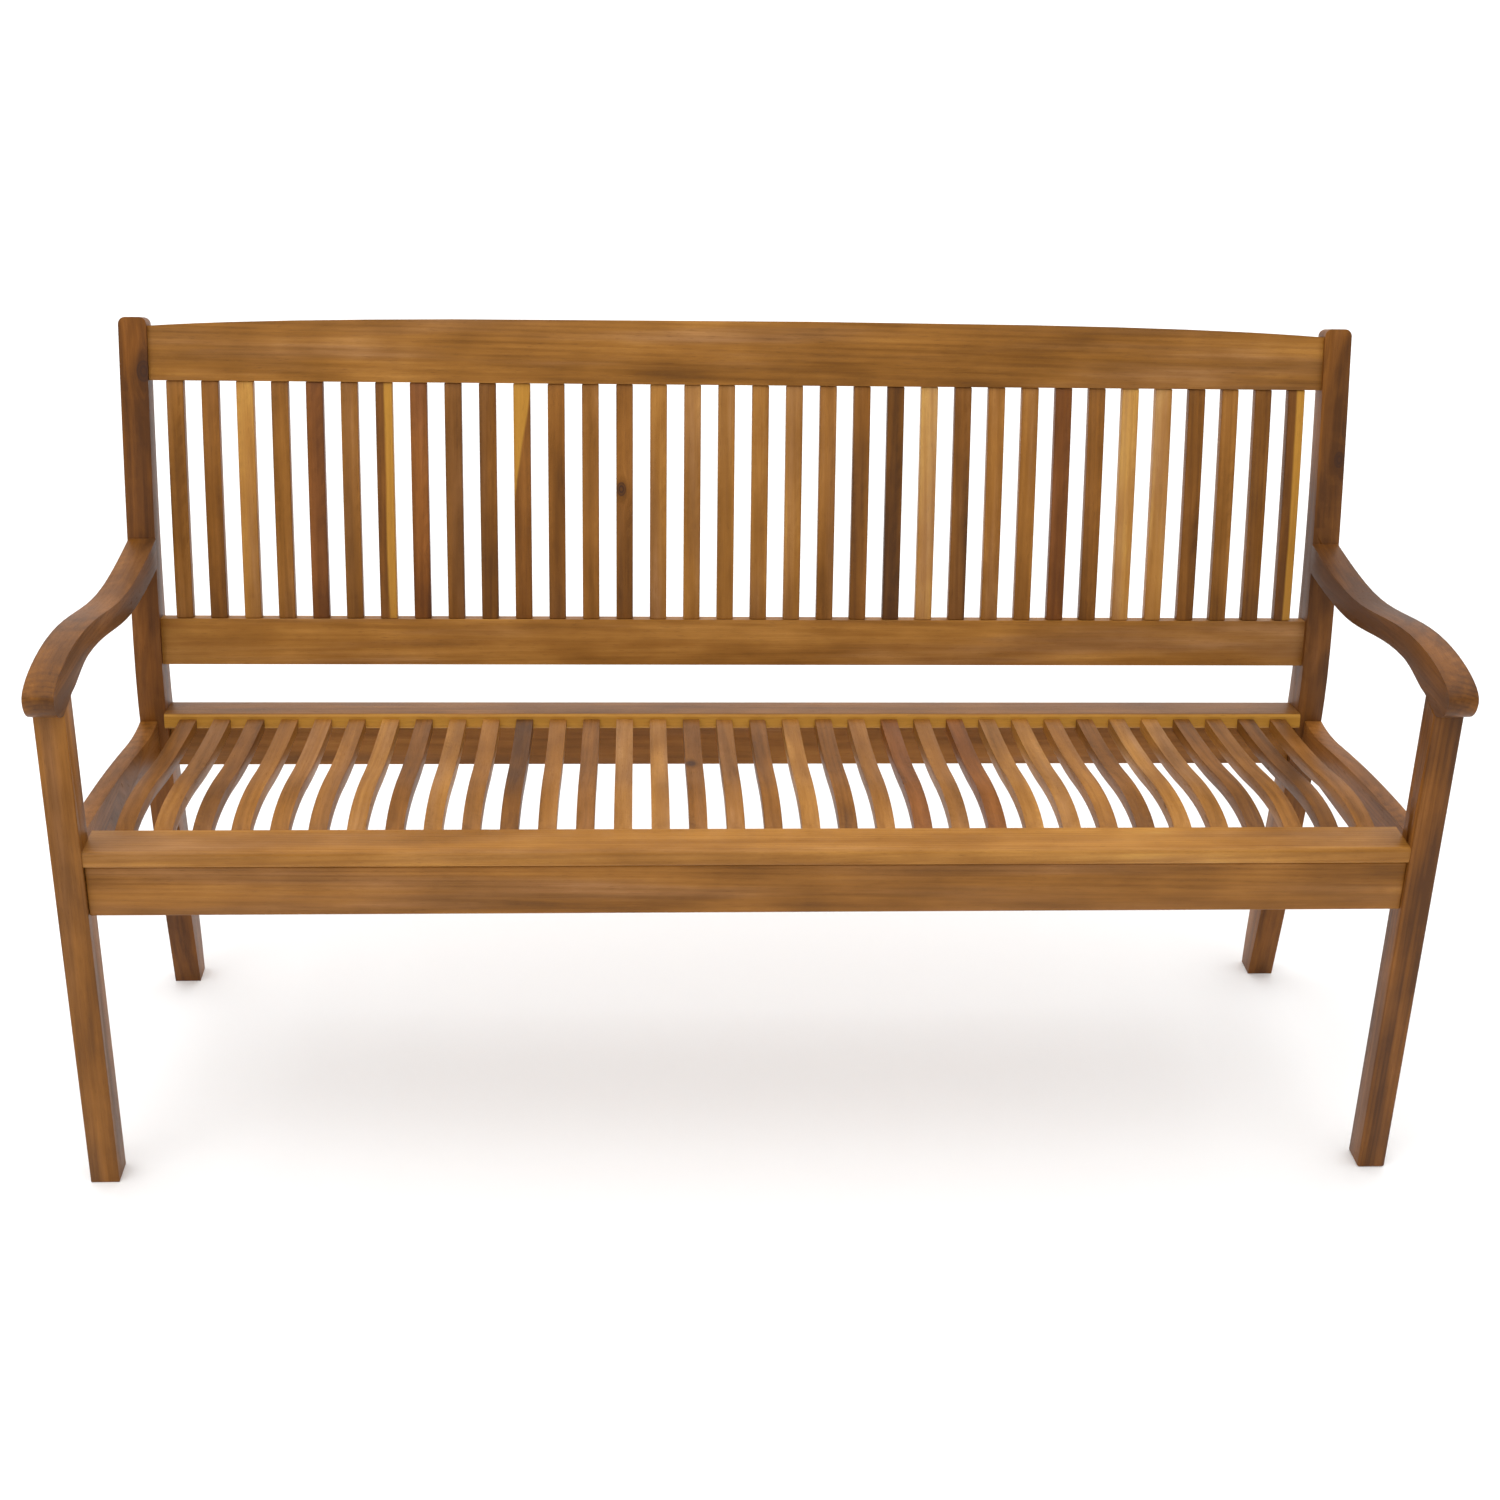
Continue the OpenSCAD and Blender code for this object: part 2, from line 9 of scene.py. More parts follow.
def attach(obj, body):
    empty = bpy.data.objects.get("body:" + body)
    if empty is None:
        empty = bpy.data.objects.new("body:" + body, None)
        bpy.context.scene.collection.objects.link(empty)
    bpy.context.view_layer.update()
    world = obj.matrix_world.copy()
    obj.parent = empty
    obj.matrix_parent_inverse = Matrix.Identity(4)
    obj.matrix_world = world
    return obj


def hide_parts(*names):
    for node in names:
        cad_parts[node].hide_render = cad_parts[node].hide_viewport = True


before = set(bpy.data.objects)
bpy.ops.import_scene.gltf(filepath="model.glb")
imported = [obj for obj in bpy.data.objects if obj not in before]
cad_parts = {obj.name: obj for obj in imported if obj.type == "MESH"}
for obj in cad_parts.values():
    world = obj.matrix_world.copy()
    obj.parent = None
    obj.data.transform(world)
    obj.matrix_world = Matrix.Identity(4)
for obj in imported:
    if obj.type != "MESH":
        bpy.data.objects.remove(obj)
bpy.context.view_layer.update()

# ---- Front legs ----
# Two straight legs of oiled acacia, 34 by 38 mm, planed square with eased edges. The wood is
# honey to dark brown with long darker bands, close growth rings, short open pores and the odd
# knot, and each board is sawn along its grain.


def node_group(name, inputs, outputs):
    """An empty shader group with the named sockets, and its input and output nodes."""
    group = bpy.data.node_groups.new(name, "ShaderNodeTree")
    for socket_name, kind, default in inputs:
        socket = group.interface.new_socket(socket_name, in_out="INPUT", socket_type=kind)
        if default is not None:
            socket.default_value = default
    for socket_name, kind in outputs:
        group.interface.new_socket(socket_name, in_out="OUTPUT", socket_type=kind)
    return group, group.nodes.new("NodeGroupInput"), group.nodes.new("NodeGroupOutput")


def maths(tree, operation, first, second=None, third=None, clamp=False):
    """A math node; each value is a number or another node's socket."""
    node = tree.nodes.new("ShaderNodeMath")
    node.operation = operation
    node.use_clamp = clamp
    for socket, value in zip(node.inputs, (first, second, third)):
        if value is None:
            continue
        if isinstance(value, (int, float)):
            socket.default_value = value
        else:
            tree.links.new(value, socket)
    return node.outputs[0]


def vector_maths(tree, operation, first, second=None, third=None, output="Vector"):
    """A vector math node; each value is a fixed vector or another node's socket."""
    node = tree.nodes.new("ShaderNodeVectorMath")
    node.operation = operation
    for socket, value in zip(node.inputs, (first, second, third)):
        if value is None:
            continue
        if isinstance(value, tuple):
            socket.default_value = value
        else:
            tree.links.new(value, socket)
    return node.outputs[output]


def stretched(tree, vector, scale):
    """The grain coordinates squeezed or stretched along the board, across it and through it."""
    return vector_maths(tree, "MULTIPLY", vector, scale)


def noise(tree, vector, scale, detail=3.0, roughness=0.5):
    """A noise pattern from 0 to 1, read at the vector."""
    node = tree.nodes.new("ShaderNodeTexNoise")
    tree.links.new(vector, node.inputs["Vector"])
    node.inputs["Scale"].default_value = scale
    node.inputs["Detail"].default_value = detail
    node.inputs["Roughness"].default_value = roughness
    return node.outputs["Fac"]


def remap(tree, value, low, high, to_low=0.0, to_high=1.0):
    """A smooth step of the value, from low and high to to_low and to_high."""
    node = tree.nodes.new("ShaderNodeMapRange")
    node.interpolation_type = "SMOOTHSTEP"
    tree.links.new(value, node.inputs["Value"])
    node.inputs["From Min"].default_value = low
    node.inputs["From Max"].default_value = high
    node.inputs["To Min"].default_value = to_low
    node.inputs["To Max"].default_value = to_high
    return node.outputs["Result"]


def blend_colour(tree, factor, first, second, mode="MIX"):
    """A colour mix; factor, first and second are values or sockets."""
    node = tree.nodes.new("ShaderNodeMix")
    node.data_type = "RGBA"
    node.blend_type = mode
    # A Mix node's colour sockets come after its float and vector ones
    for key, value in ((0, factor), (6, first), (7, second)):
        if hasattr(value, "node"):
            tree.links.new(value, node.inputs[key])
        else:
            node.inputs[key].default_value = value
    return node.outputs[2]


def colour_ramp(tree, value, stops):
    """A colour ramp through the stops, each (place, colour)."""
    node = tree.nodes.new("ShaderNodeValToRGB")
    tree.links.new(value, node.inputs["Fac"])
    ramp = node.color_ramp
    ramp.elements[0].position, ramp.elements[1].position = stops[0][0], stops[-1][0]
    for place, _colour in stops[1:-1]:
        ramp.elements.new(place)
    for element, (_place, colour) in zip(ramp.elements, stops):
        element.color = (*colour, 1.0)
    return node.outputs["Color"]


def build_acacia_group():
    """Acacia figure. Grain holds the place in the board: along it, across it and through it."""
    group, entry, out = node_group(
        "acacia_figure",
        (
            ("Grain", "NodeSocketVector", None),
            ("Knot", "NodeSocketVector", None),
            ("Board", "NodeSocketFloat", 0.0),
            ("Tone", "NodeSocketFloat", 0.5),
            ("Redness", "NodeSocketFloat", 0.3),
            ("Sapwood", "NodeSocketFloat", -1.0),
        ),
        (("Color", "NodeSocketColor"), ("Roughness", "NodeSocketFloat"), ("Height", "NodeSocketFloat")),
    )
    # Every board starts at a place of its own in the tree
    chance = group.nodes.new("ShaderNodeTexWhiteNoise")
    chance.noise_dimensions = "1D"
    group.links.new(entry.outputs["Board"], chance.inputs["W"])
    tree_place = vector_maths(
        group, "MULTIPLY_ADD", chance.outputs["Color"], (9.0, 5.0, 5.0), entry.outputs["Grain"]
    )
    # The grain swells round a knot
    knot_distance = vector_maths(group, "LENGTH", entry.outputs["Knot"], output="Value")
    swelling = maths(group, "MULTIPLY", remap(group, knot_distance, 3.2, 0.6), 0.006)
    push = vector_maths(group, "MULTIPLY", entry.outputs["Knot"], (0.0, 1.0, 1.0))
    push = vector_maths(group, "NORMALIZE", push)
    lift = group.nodes.new("ShaderNodeVectorMath")
    lift.operation = "SCALE"
    group.links.new(push, lift.inputs[0])
    group.links.new(swelling, lift.inputs["Scale"])
    grain = vector_maths(group, "SUBTRACT", tree_place, lift.outputs[0])

    # Growth rings round the tree's heart, which lies a few centimetres outside the board; the
    # board wanders a little off the tree's axis, so that its rings run out as long arches
    heart = vector_maths(
        group, "MULTIPLY_ADD", chance.outputs["Color"], (0.0, 0.12, 0.09), (0.0, -0.06, 0.03)
    )
    from_heart = vector_maths(group, "ADD", entry.outputs["Grain"], heart)
    split = group.nodes.new("ShaderNodeSeparateXYZ")
    group.links.new(from_heart, split.inputs[0])
    wander = noise(group, stretched(group, grain, (1.1, 7.0, 7.0)), 1.0, 2.0)
    across = maths(group, "MULTIPLY_ADD", wander, 0.016, split.outputs["Y"])
    through = maths(group, "MULTIPLY_ADD", split.outputs["X"], 0.02, split.outputs["Z"])
    radius = maths(
        group, "SQRT",
        maths(group, "ADD", maths(group, "POWER", across, 2.0), maths(group, "POWER", through, 2.0)),
    )
    ring_rate = 1250.0  # radians of ring to a metre, which puts them about 5 mm apart
    rings = maths(group, "SINE", maths(group, "MULTIPLY", radius, ring_rate))
    rings = remap(group, rings, -0.2, 1.0)

    # The figure, from broad bands down to single pores, each drawn out along the grain
    bands = noise(group, stretched(group, grain, (2.2, 45.0, 45.0)), 1.0, 2.0, 0.5)
    clouds = noise(group, stretched(group, grain, (8.0, 20.0, 20.0)), 1.0, 3.0)
    streaks = noise(group, stretched(group, grain, (3.5, 190.0, 190.0)), 1.0, 3.0, 0.6)
    fibres = noise(group, stretched(group, grain, (22.0, 1100.0, 1100.0)), 1.0, 3.0, 0.6)
    pores = noise(group, stretched(group, grain, (75.0, 1500.0, 1500.0)), 1.0, 1.0)
    pores = remap(group, pores, 0.62, 0.74)

    # Darkness of the wood at each point, from the board's own tone and its figure
    shade = entry.outputs["Tone"]
    for figure, amount in ((bands, 0.60), (clouds, 0.80), (streaks, 0.36), (fibres, 0.20)):
        shade = maths(group, "MULTIPLY_ADD", maths(group, "SUBTRACT", figure, 0.5), amount, shade)
    shade = maths(group, "MULTIPLY_ADD", rings, 0.07, shade)
    shade = maths(group, "ADD", shade, remap(group, knot_distance, 2.4, 0.8, 0.0, 0.18), clamp=True)
    wood = colour_ramp(group, shade, (
        (0.0, (0.660, 0.360, 0.075)),
        (0.25, (0.465, 0.212, 0.042)),
        (0.50, (0.320, 0.132, 0.020)),
        (0.75, (0.200, 0.076, 0.008)),
        (1.0, (0.090, 0.034, 0.005)),
    ))
    wood = blend_colour(group, entry.outputs["Redness"], wood, (1.0, 0.78, 1.0, 1.0), "MULTIPLY")
    # Greyer streaks between the golden ones
    grey = noise(group, stretched(group, grain, (2.6, 34.0, 34.0)), 1.0, 3.0)
    grey = maths(group, "MULTIPLY", remap(group, grey, 0.42, 0.70), 0.75)
    wood = blend_colour(group, grey, wood, (0.80, 0.88, 1.9, 1.0), "MULTIPLY")
    sap_shade = maths(group, "MULTIPLY_ADD", maths(group, "SUBTRACT", streaks, 0.5), 1.4, 0.45)
    sapwood = colour_ramp(group, sap_shade, ((0.0, (0.56, 0.28, 0.040)), (1.0, (0.38, 0.16, 0.018))))
    sap_edge = maths(
        group, "MULTIPLY_ADD", maths(group, "SUBTRACT", clouds, 0.5), 0.006, entry.outputs["Sapwood"]
    )
    wood = blend_colour(group, remap(group, sap_edge, -0.0012, 0.0022), wood, sapwood)
    knot_ring = maths(group, "SINE", maths(group, "MULTIPLY", knot_distance, 15.0))
    knot_ring = remap(group, knot_ring, -0.5, 1.0, 0.55, 0.95)
    knot = maths(group, "MULTIPLY", remap(group, knot_distance, 1.12, 0.85), knot_ring)
    wood = blend_colour(group, knot, wood, (0.050, 0.020, 0.010, 1.0))
    pore_depth = maths(group, "MULTIPLY", pores, 0.32)
    wood = blend_colour(group, pore_depth, wood, (0.060, 0.024, 0.010, 1.0))
    group.links.new(wood, out.inputs["Color"])

    rough = maths(group, "MULTIPLY_ADD", fibres, 0.18, 0.36)
    group.links.new(maths(group, "MULTIPLY_ADD", pores, 0.2, rough), out.inputs["Roughness"])
    height = maths(group, "MULTIPLY_ADD", pores, -0.8, maths(group, "MULTIPLY", fibres, 0.45))
    group.links.new(height, out.inputs["Height"])
    return group


acacia_figure = build_acacia_group()
BOARD_DATA = ("grain", "knot", "board", "tone", "redness", "sapwood")
VECTOR_DATA = ("grain", "knot")


def acacia(name):
    """Oiled acacia, which reads each board's own grain, tone and marks from its mesh."""
    material = bpy.data.materials.new(name)
    material.use_nodes = True
    tree = material.node_tree
    shader = tree.nodes["Principled BSDF"]
    shader.inputs["Specular IOR Level"].default_value = 0.2
    figure = tree.nodes.new("ShaderNodeGroup")
    figure.node_tree = acacia_figure
    for attribute in BOARD_DATA:
        reader = tree.nodes.new("ShaderNodeAttribute")
        reader.attribute_name = attribute
        value = reader.outputs["Vector" if attribute in VECTOR_DATA else "Fac"]
        tree.links.new(value, figure.inputs[attribute.capitalize()])
    bump = tree.nodes.new("ShaderNodeBump")
    bump.inputs["Strength"].default_value = 0.25
    bump.inputs["Distance"].default_value = 0.0006
    tree.links.new(figure.outputs["Height"], bump.inputs["Height"])
    tree.links.new(figure.outputs["Color"], shader.inputs["Base Color"])
    tree.links.new(figure.outputs["Roughness"], shader.inputs["Roughness"])
    tree.links.new(bump.outputs["Normal"], shader.inputs["Normal"])
    return material


ALONG_X = Matrix(((1, 0, 0), (0, 0, 1), (0, 1, 0)))
ALONG_Y = Matrix(((0, 1, 0), (1, 0, 0), (0, 0, 1)))
ALONG_Z = Matrix(((0, 0, 1), (1, 0, 0), (0, 1, 0)))


def islands(mesh):
    """The separate solids of a bmesh, each a list of its vertices."""
    seen = set()
    for start in mesh.verts:
        if start in seen:
            continue
        seen.add(start)
        group, queue = [], [start]
        while queue:
            vert = queue.pop()
            group.append(vert)
            for edge in vert.link_edges:
                other = edge.other_vert(vert)
                if other not in seen:
                    seen.add(other)
                    queue.append(other)
        yield group


def straightened(places, bend):
    """Places in a bent board as if it lay straight: its middle line becomes the grain's axis.
    The bend is the degree of that line."""
    table = np.array([place[:] for place in places])
    along = table[:, 0]
    for column in (1, 2):
        middle_line = np.polynomial.Polynomial.fit(along, table[:, column], bend)
        table[:, column] -= middle_line(along)
    return [Vector(row) for row in table]


NO_KNOT = (9.0, 9.0, 9.0)
NO_SAPWOOD = -1.0


def shaped_board(node, turn, looks, ease=0.002, bend=1, seed=0, tone_slope=0.0):
    """A board of the CAD node's shape with eased edges. Each solid of the node is a board of its
    own with its own look: tone, redness, and the edge of its sapwood and its knot if it has them.
    The tone changes along the board by a set slope, which on the back slats is painted shade: darker
    towards their lower ends."""
    mesh = bmesh.new()
    mesh.from_mesh(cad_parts[node].data)
    bmesh.ops.remove_doubles(mesh, verts=mesh.verts, dist=0.00002)
    bmesh.ops.dissolve_limit(
        mesh, angle_limit=radians(0.4), use_dissolve_boundaries=False, verts=mesh.verts, edges=mesh.edges
    )
    shortest_eased = 0.006
    corners = [
        edge for edge in mesh.edges
        if len(edge.link_faces) == 2
        and edge.calc_face_angle() > radians(30)
        and edge.calc_length() > shortest_eased
    ]
    bmesh.ops.bevel(
        mesh, geom=corners, offset=ease, offset_type="OFFSET", affect="EDGES", segments=3,
        profile=0.5, material=-1, clamp_overlap=True,
    )
    kinds = mesh.verts.layers
    layers = {
        name: (kinds.float_vector if name in VECTOR_DATA else kinds.float).new(name)
        for name in BOARD_DATA
    }
    from_left = sorted(islands(mesh), key=lambda group: min(v.co.x for v in group))
    for number, solid in enumerate(from_left):
        low = Vector(min(v.co[axis] for v in solid) for axis in range(3))
        high = Vector(max(v.co[axis] for v in solid) for axis in range(3))
        places = [turn @ (vert.co - (low + high) / 2) for vert in solid]
        look = dict(sapwood=None, knot=None) | looks[number % len(looks)]
        for vert, place, true_place in zip(solid, straightened(places, bend), places):
            vert[layers["grain"]] = place
            vert[layers["board"]] = seed + number
            vert[layers["tone"]] = look["tone"] + tone_slope * place.x
            vert[layers["redness"]] = look["redness"]
            sap, knot = look["sapwood"], look["knot"]
            vert[layers["sapwood"]] = (
                NO_SAPWOOD if sap is None else Vector(sap[:3]) @ true_place - sap[3]
            )
            vert[layers["knot"]] = NO_KNOT if knot is None else (
                (true_place.x - knot[0]) / knot[2] / 1.5, (true_place.y - knot[1]) / knot[2], 0.3
            )
    data = bpy.data.meshes.new(node + "_shaped")
    mesh.to_mesh(data)
    mesh.free()
    data.materials.append(oiled_acacia)
    piece = bpy.data.objects.new(node + "_shaped", data)
    bpy.context.scene.collection.objects.link(piece)
    for polygon in data.polygons:
        polygon.use_smooth = True
    data.set_sharp_from_angle(angle=radians(32))
    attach(piece, "root")
    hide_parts(node)
    return piece


oiled_acacia = acacia("oiled_acacia")

for number, (node, look) in enumerate((
    ("front_leg_left", dict(tone=0.62, redness=0.2)),
    ("front_leg_right", dict(tone=0.84, redness=0.4)),
)):
    shaped_board(node, ALONG_Z, (look,), ease=0.003, seed=10 + number)

# ---- Rear posts ----
# Two posts sawn to a bend from wide planks, thickest at the seat and leaning back above it.
# They carry every rail of the back. Both are dark, with a knot near the edge.
for number, (node, look) in enumerate((
    ("rear_post_left", dict(tone=0.80, redness=0.5, knot=(0.395, 0.012, 0.009))),
    ("rear_post_right", dict(tone=0.77, redness=0.4, knot=(0.30, 0.010, 0.007))),
)):
    shaped_board(node, ALONG_Z, (look,), ease=0.003, bend=5, seed=20 + number)

# ---- Armrests ----
# Two curved arms bandsawn from thick boards, a hollow behind and a rounded nose in front.
# Each is doweled onto the top of its leg and into the front of its post.
for number, (node, look) in enumerate((
    ("armrest_left", dict(tone=0.83, redness=0.3)),
    ("armrest_right", dict(tone=0.92, redness=0.4)),
)):
    shaped_board(node, ALONG_Y, (look,), ease=0.004, bend=5, seed=30 + number)

# ---- Side rails ----
# Two rails on edge between leg and post, tenoned into both, their tops sawn to a wave that
# follows the seat slats beside them.
for number, (node, look) in enumerate((
    ("side_rail_left", dict(tone=0.68, redness=0.3)),
    ("side_rail_right", dict(tone=0.70, redness=0.4)),
)):
    shaped_board(node, ALONG_Y, (look,), bend=3, seed=40 + number)

# ---- Aprons ----
# Two long boards on edge under the seat rails, one between the legs and one between the
# posts. Each is drawn up by a bolt and set by a dowel at both ends.
for number, (node, look) in enumerate((
    ("front_apron", dict(tone=0.56, redness=0.1)),
    ("rear_apron", dict(tone=0.58, redness=0.2)),
)):
    shaped_board(node, ALONG_X, (look,), seed=50 + number)

# ---- Seat rails ----
# Two flat rails that hold the ends of the seat slats. The front one has a rounded nose, and
# the rear one is sawn with pale sapwood along its front edge.
for number, (node, look) in enumerate((
    ("front_seat_rail", dict(tone=0.43, redness=0.0)),
    ("rear_seat_rail", dict(tone=0.68, redness=0.1, sapwood=(0, 0.139, -0.990, 0.025))),
)):
    shaped_board(node, ALONG_X, (look,), seed=60 + number)

# ---- Back rails ----
# The straight lower rail and the arched crest rail, which hold the ends of the back slats.
# Both are bolted between the leaning posts.
for number, (node, look) in enumerate((
    ("lower_back_rail", dict(tone=0.42, redness=0.0)),
    ("crest_rail", dict(tone=0.54, redness=0.0)),
)):
    shaped_board(node, ALONG_X, (look,), seed=70 + number)

# ---- Seat slats ----
# Thirty-four narrow waved slats sawn from many boards, so that their colour changes from one
# to the next. Each has a tenon at both ends, glued into the seat rails.

# G pale golden, g golden, h honey, m middling, b brown, r red-brown, d dark, k brown with a
# knot; R has sapwood along one edge and D sapwood on a slant.
SLAT_LOOKS = {
    "G": dict(tone=0.21, redness=0.0),
    "g": dict(tone=0.32, redness=0.0),
    "h": dict(tone=0.42, redness=0.0),
    "m": dict(tone=0.56, redness=0.1),
    "b": dict(tone=0.69, redness=0.2),
    "r": dict(tone=0.72, redness=0.7),
    "d": dict(tone=0.86, redness=0.2),
    "k": dict(tone=0.62, redness=0.2, knot=(0.02, -0.004, 0.006)),
    "R": dict(tone=0.78, redness=0.3, sapwood=(0, 1, 0, 0.000)),
    "D": dict(tone=0.74, redness=0.3, sapwood=(0.16, -1, 0, 0.0105)),
}


def slat_row(first_name, turn, bend, seed, tone_slope, row):
    """One row of slats, two to a node, with the look that each one's letter names."""
    for pair in range(len(row) // 2):
        looks = [SLAT_LOOKS[letter] for letter in row[2 * pair: 2 * pair + 2]]
        node = f"{first_name}_{2 * pair + 1:02d}_{2 * pair + 2:02d}"
        shaped_board(node, turn, looks, bend=bend, seed=seed + 2 * pair, tone_slope=tone_slope)


slat_row("seat_slats", ALONG_Y, 6, 100, 0.1, "bmbmmmhbhmdmbhhkmbhbmrmrhhmbhhbmdb")

# ---- Back slats ----
# Thirty-four slats of the same section, gently bowed to the back's lean and tenoned into the
# two back rails. A few are golden sapwood all through or down one side.
# The back slats get painted shade: their tone is made darker towards their lower ends, near the seat.
slat_row("back_slats", ALONG_Z, 2, 200, -0.4, "mbgmrmRrbbDbmkhhhhhmbdGbmmrbGgbmbR")

# ---- Bolts, washers and barrel nuts ----
# Each end of the aprons and the back rails is drawn up to its leg or post by a steel bolt, its
# head and washer sunk in a counterbore in the outer face and its end in a barrel nut across
# the rail. Zinc plated.


def zinc_plate(name, colour, scale):
    """Zinc-plated steel, cloudy and lightly scuffed."""
    material = bpy.data.materials.new(name)
    material.use_nodes = True
    tree = material.node_tree
    shader = tree.nodes["Principled BSDF"]
    shader.inputs["Metallic"].default_value = 1.0
    place = tree.nodes.new("ShaderNodeTexCoord").outputs["Object"]
    clouds = noise(tree, place, scale, 4.0)
    scuffs = noise(tree, stretched(tree, place, (90.0, 700.0, 700.0)), 1.0, 3.0)
    plate = blend_colour(tree, clouds, (*colour, 1.0), (0.40, 0.39, 0.36, 1.0))
    tree.links.new(plate, shader.inputs["Base Color"])
    tree.links.new(remap(tree, scuffs, 0.3, 0.7, 0.28, 0.50), shader.inputs["Roughness"])
    bump = tree.nodes.new("ShaderNodeBump")
    bump.inputs["Strength"].default_value = 0.2
    bump.inputs["Distance"].default_value = 0.0002
    tree.links.new(scuffs, bump.inputs["Height"])
    tree.links.new(bump.outputs["Normal"], shader.inputs["Normal"])
    return material


def refinish(node, material):
    """Give a CAD node this material in place of its plain one."""
    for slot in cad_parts[node].material_slots:
        slot.material = material


refinish("frame_bolts", zinc_plate("bolt_zinc", (0.66, 0.67, 0.69), 160.0))
refinish("bolt_washers", zinc_plate("washer_zinc", (0.72, 0.72, 0.73), 240.0))
refinish("barrel_nuts", zinc_plate("nut_zinc", (0.58, 0.59, 0.62), 200.0))

# ---- Dowels ----
# Round beech dowels, glued in beside the bolts, between the seat rails and the aprons, and
# between the arms and the frame. All of them are hidden in the joints.


def beech(name):
    """Plain pale beech with short flecks."""
    material = bpy.data.materials.new(name)
    material.use_nodes = True
    tree = material.node_tree
    shader = tree.nodes["Principled BSDF"]
    place = tree.nodes.new("ShaderNodeTexCoord").outputs["Object"]
    flecks = noise(tree, place, 900.0, 3.0)
    clouds = noise(tree, place, 120.0, 2.0)
    wood = blend_colour(tree, clouds, (0.62, 0.40, 0.22, 1.0), (0.50, 0.30, 0.15, 1.0))
    wood = blend_colour(tree, remap(tree, flecks, 0.5, 0.75, 0.0, 0.6), wood, (0.32, 0.17, 0.08, 1.0))
    tree.links.new(wood, shader.inputs["Base Color"])
    tree.links.new(remap(tree, flecks, 0.2, 0.8, 0.5, 0.7), shader.inputs["Roughness"])
    return material


dowel_beech = beech("dowel_beech")
for node in ("rail_dowels", "seat_dowels", "armrest_dowels"):
    refinish(node, dowel_beech)

# ---- Camera ----
# A standing view from just left of the middle of the bench, 1.6 m above the floor and 2.5 m in
# front of the bench's middle, looking down on the seat. The axes are worked out one by one,
# because the camera is also rolled a little.
camera_data = bpy.data.cameras.new("camera")
camera_data.sensor_width = 36.0
camera_data.lens = 53.2056
camera_data.clip_end = 50.0
camera = bpy.data.objects.new("camera", camera_data)
bpy.context.scene.collection.objects.link(camera)
yaw, pitch, roll = radians(-3.682), radians(25.403), radians(1.528)
spot = Vector((-0.1537, -2.4536, 1.6178))
forward = Matrix.Rotation(yaw, 3, "Z") @ Matrix.Rotation(-pitch, 3, "X") @ Vector((0, 1, 0))
side = forward.cross(Vector((0, 0, 1))).normalized()
up = side.cross(forward)
right = cos(roll) * side + sin(roll) * up
above = cos(roll) * up - sin(roll) * side
camera.matrix_world = Matrix((
    (right.x, above.x, -forward.x, spot.x),
    (right.y, above.y, -forward.y, spot.y),
    (right.z, above.z, -forward.z, spot.z),
    (0, 0, 0, 1),
))
bpy.context.scene.camera = camera
bpy.context.scene.view_settings.view_transform = "Standard"

# ---- Light ----
# Soft light, mostly from overhead and a little from the pale wall behind, as in a white tent,
# with a weak key from the front left. Behind the bench the camera sees plain white.
ROOF_GLOW = 1.85
WALL_GLOW = 0.55
ALL_ROUND_GLOW = 0.28
world = bpy.data.worlds.new("studio")
bpy.context.scene.world = world
world.use_nodes = True
sky = world.node_tree
direction = sky.nodes.new("ShaderNodeTexCoord")
height = sky.nodes.new("ShaderNodeSeparateXYZ")
sky.links.new(direction.outputs["Generated"], height.inputs[0])
overhead = maths(sky, "POWER", maths(sky, "MAXIMUM", height.outputs["Z"], 0.0), 2.0)
behind = maths(sky, "MAXIMUM", height.outputs["Y"], 0.0)
glow = maths(sky, "MULTIPLY_ADD", overhead, ROOF_GLOW, ALL_ROUND_GLOW)
glow = maths(sky, "MULTIPLY_ADD", behind, WALL_GLOW, glow)
sky.links.new(glow, sky.nodes["Background"].inputs["Strength"])
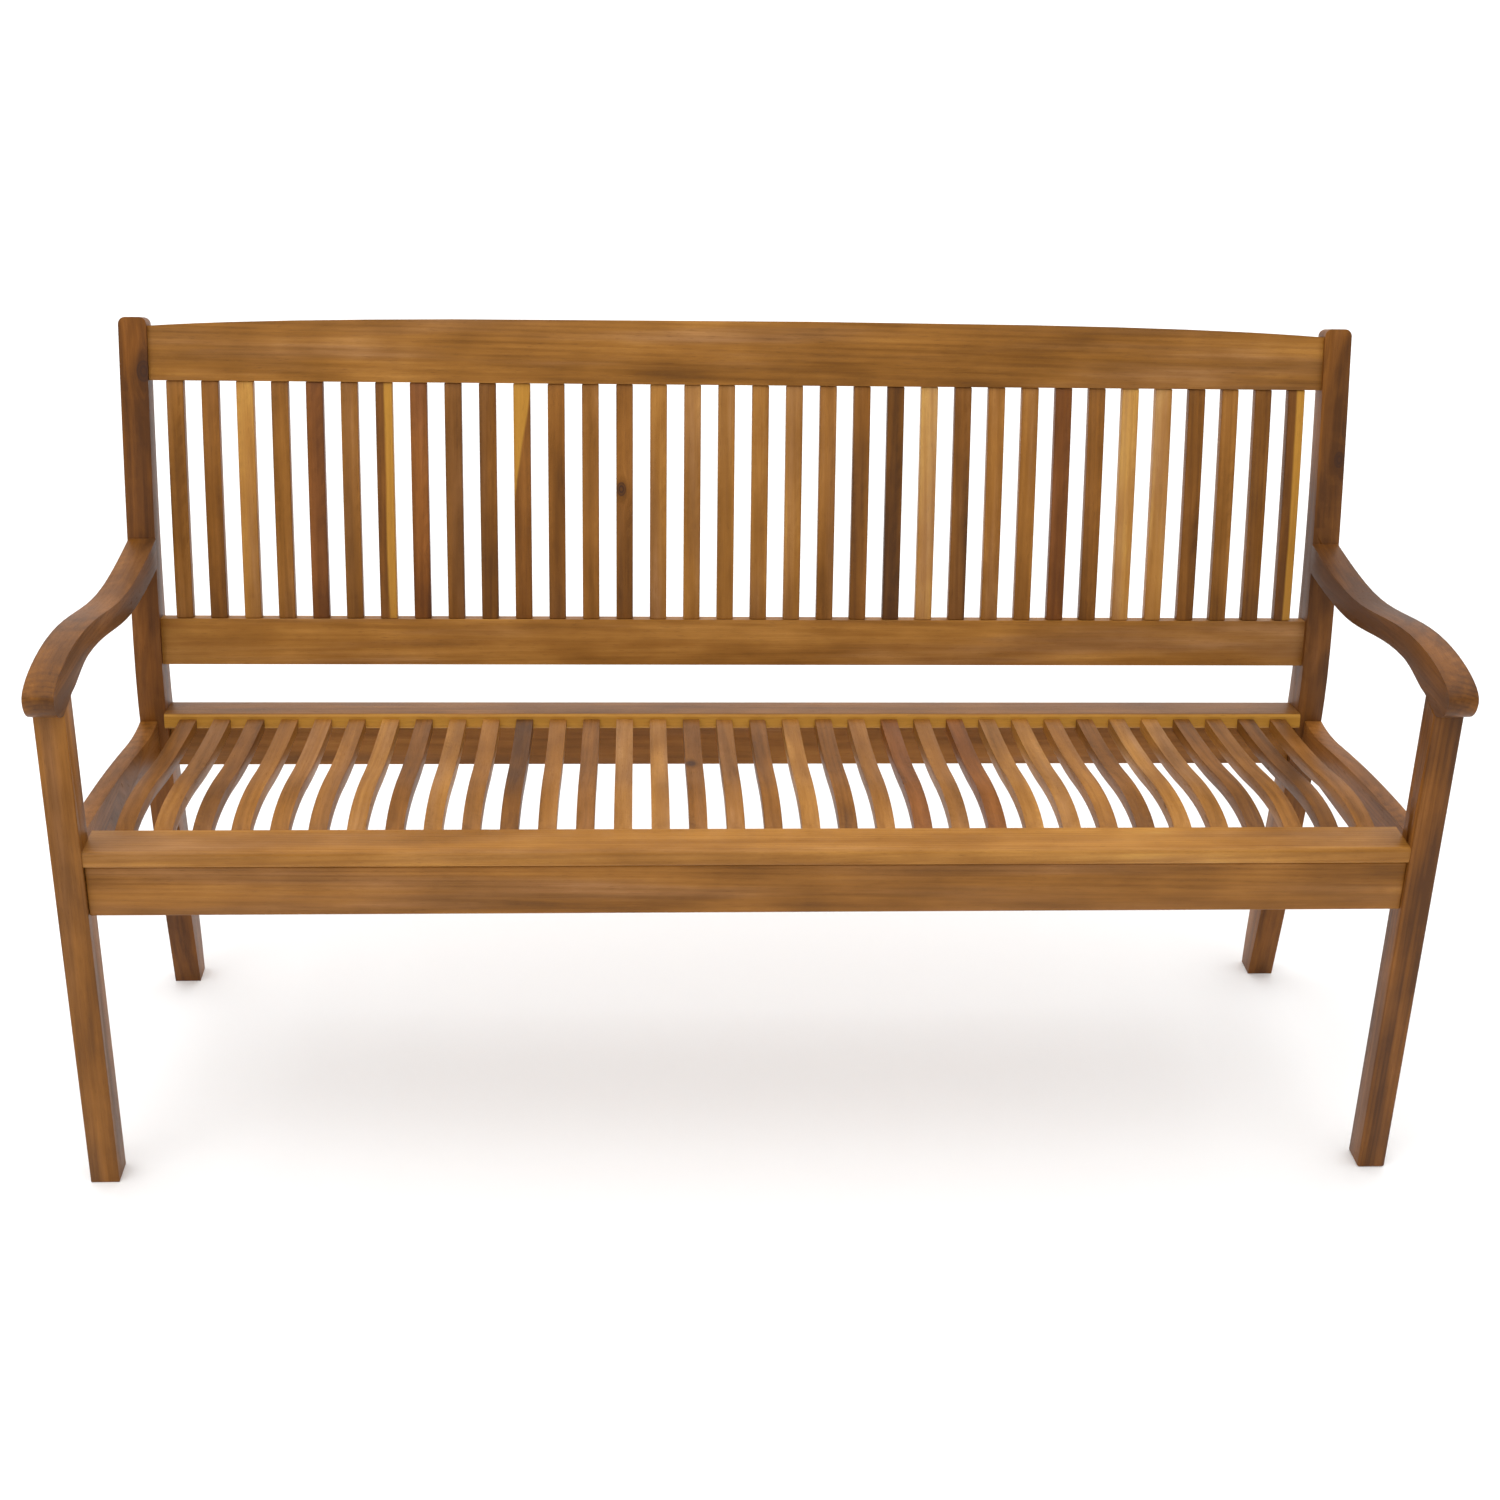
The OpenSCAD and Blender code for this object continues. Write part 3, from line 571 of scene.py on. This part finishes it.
sky.nodes["Background"].inputs["Color"].default_value = (1.0, 1.0, 1.0, 1.0)
plain_white = sky.nodes.new("ShaderNodeBackground")
seen_or_lit = sky.nodes.new("ShaderNodeMixShader")
light_path = sky.nodes.new("ShaderNodeLightPath")
sky.links.new(light_path.outputs["Is Camera Ray"], seen_or_lit.inputs[0])
sky.links.new(sky.nodes["Background"].outputs[0], seen_or_lit.inputs[1])
sky.links.new(plain_white.outputs[0], seen_or_lit.inputs[2])
sky.links.new(seen_or_lit.outputs[0], sky.nodes["World Output"].inputs["Surface"])
plain_white.inputs["Color"].default_value = (1.0, 1.0, 1.0, 1.0)


def soft_light(name, place, aim, size, power):
    """A rectangular lamp at the place, turned to the aim; size in metres and power in watts."""
    data = bpy.data.lights.new(name, "AREA")
    data.shape = "RECTANGLE"
    data.size, data.size_y = size
    data.energy = power
    lamp = bpy.data.objects.new(name, data)
    lamp.location = place
    lamp.rotation_euler = (Vector(aim) - Vector(place)).to_track_quat("-Z", "Y").to_euler()
    bpy.context.scene.collection.objects.link(lamp)


soft_light("key", (-1.4, -1.8, 3.2), (0, 0, 0.4), (2.4, 1.6), 22)

# ---- Floor ----
# A plain pale studio floor that reaches well past the view. It glows a little by itself, so
# that it stays nearly white under the bench's soft shadow.
FLOOR_REACH = 30.0
floor_mesh = bmesh.new()
bmesh.ops.create_grid(floor_mesh, x_segments=1, y_segments=1, size=FLOOR_REACH)
floor_data = bpy.data.meshes.new("floor")
floor_mesh.to_mesh(floor_data)
floor_mesh.free()
floor = bpy.data.objects.new("floor", floor_data)
bpy.context.scene.collection.objects.link(floor)
floor_paint = bpy.data.materials.new("pale_floor")
floor_paint.use_nodes = True
floor_shader = floor_paint.node_tree.nodes["Principled BSDF"]
floor_shader.inputs["Base Color"].default_value = (0.90, 0.90, 0.90, 1.0)
floor_shader.inputs["Emission Color"].default_value = (1.0, 1.0, 1.0, 1.0)
floor_shader.inputs["Emission Strength"].default_value = 0.08
floor_shader.inputs["Roughness"].default_value = 0.9
floor_data.materials.append(floor_paint)
